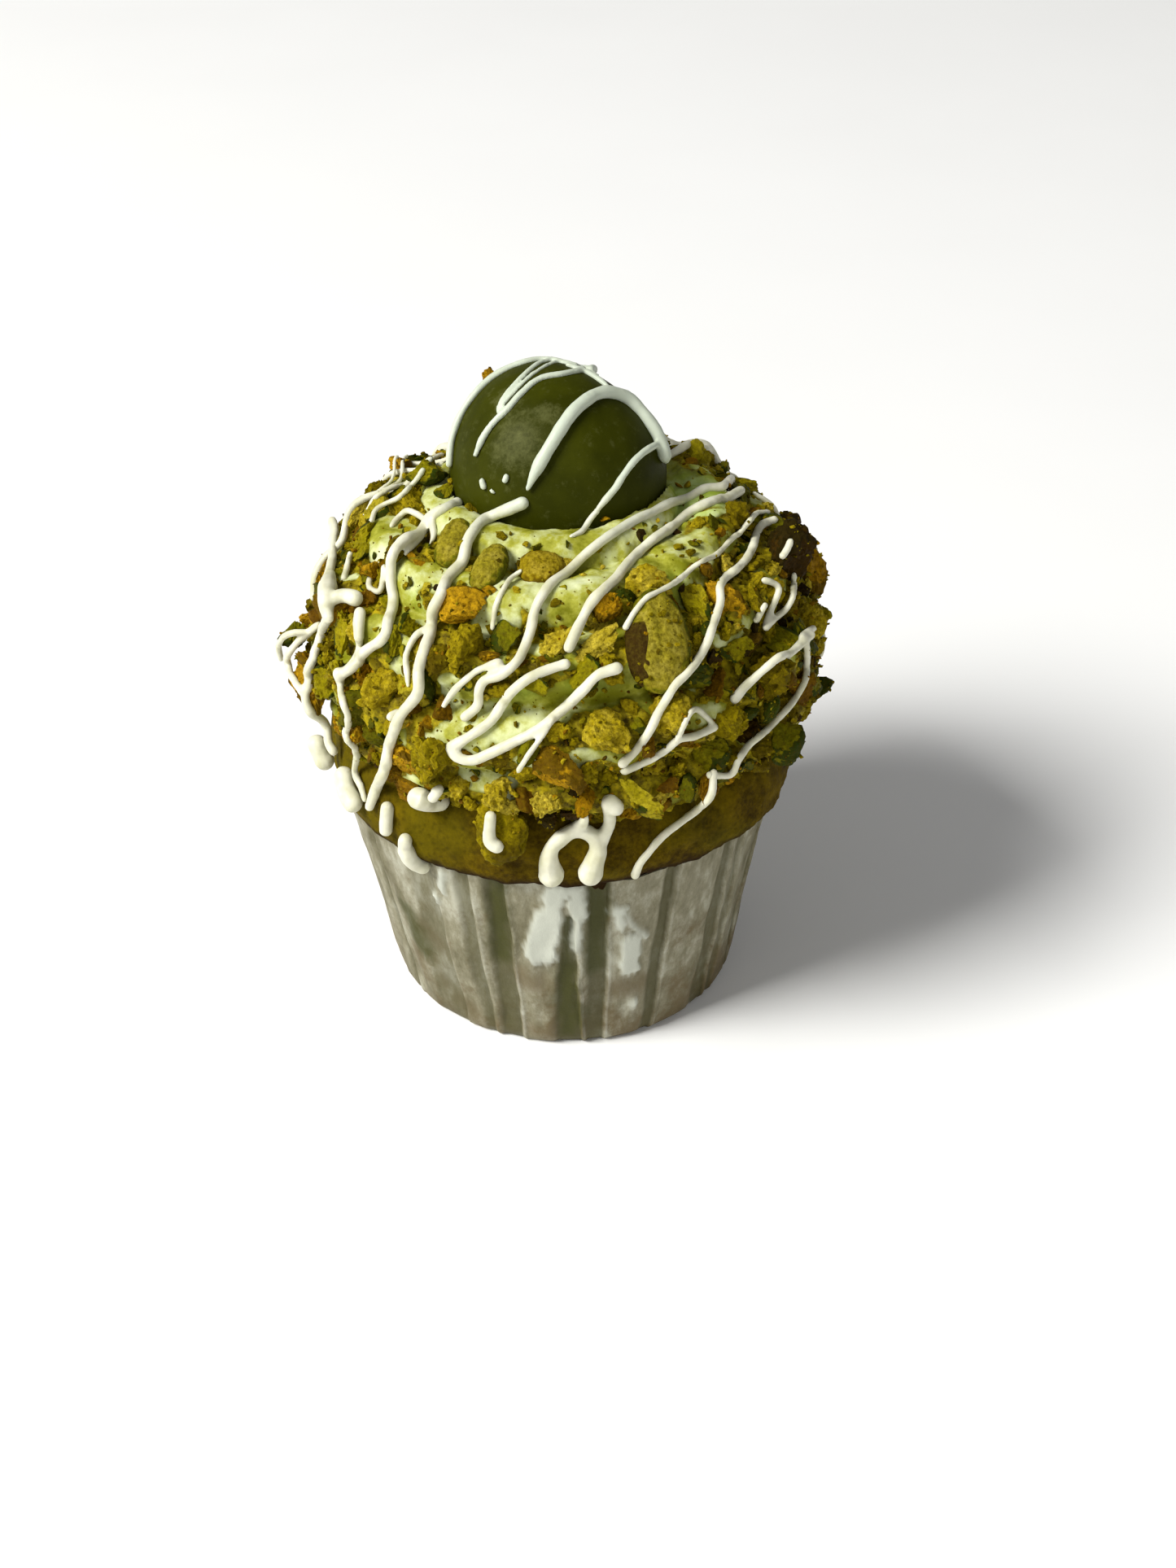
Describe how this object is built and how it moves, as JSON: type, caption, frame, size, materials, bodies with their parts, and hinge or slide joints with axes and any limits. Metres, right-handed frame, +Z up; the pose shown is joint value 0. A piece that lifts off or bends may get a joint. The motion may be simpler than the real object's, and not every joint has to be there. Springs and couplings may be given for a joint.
{
  "type": "cupcake",
  "caption": "Pistachio cupcake in a pleated paper case: piped cream rolled in chopped nuts, a chocolate ball on top and a white chocolate drizzle.",
  "frame": {"origin": "centre of the flat base of the paper case, on the surface that it stands on", "axes": "+Z up through the chocolate ball; -Y is the front, the side that the picture shows; +X is to the right as seen from the front"},
  "size_m": [0.0778, 0.0791, 0.0954],
  "materials": {
    "greaseproof_paper": "matte, pleated, with patches of grease",
    "baked_sponge": null,
    "pistachio_cream": null,
    "green_chocolate": null,
    "pistachio_nut": null,
    "nut_crumb": null
  },
  "bodies": {
    "root": {"paper_case": "greaseproof_paper", "cake": "baked_sponge", "frosting": "pistachio_cream", "chocolate_ball": "green_chocolate", "kernel_whole": "pistachio_nut", "kernel_front": "pistachio_nut", "kernel_upper_left": "pistachio_nut", "kernel_round": "pistachio_nut", "crumb_clump": "nut_crumb"}
  },
  "joints": []
}
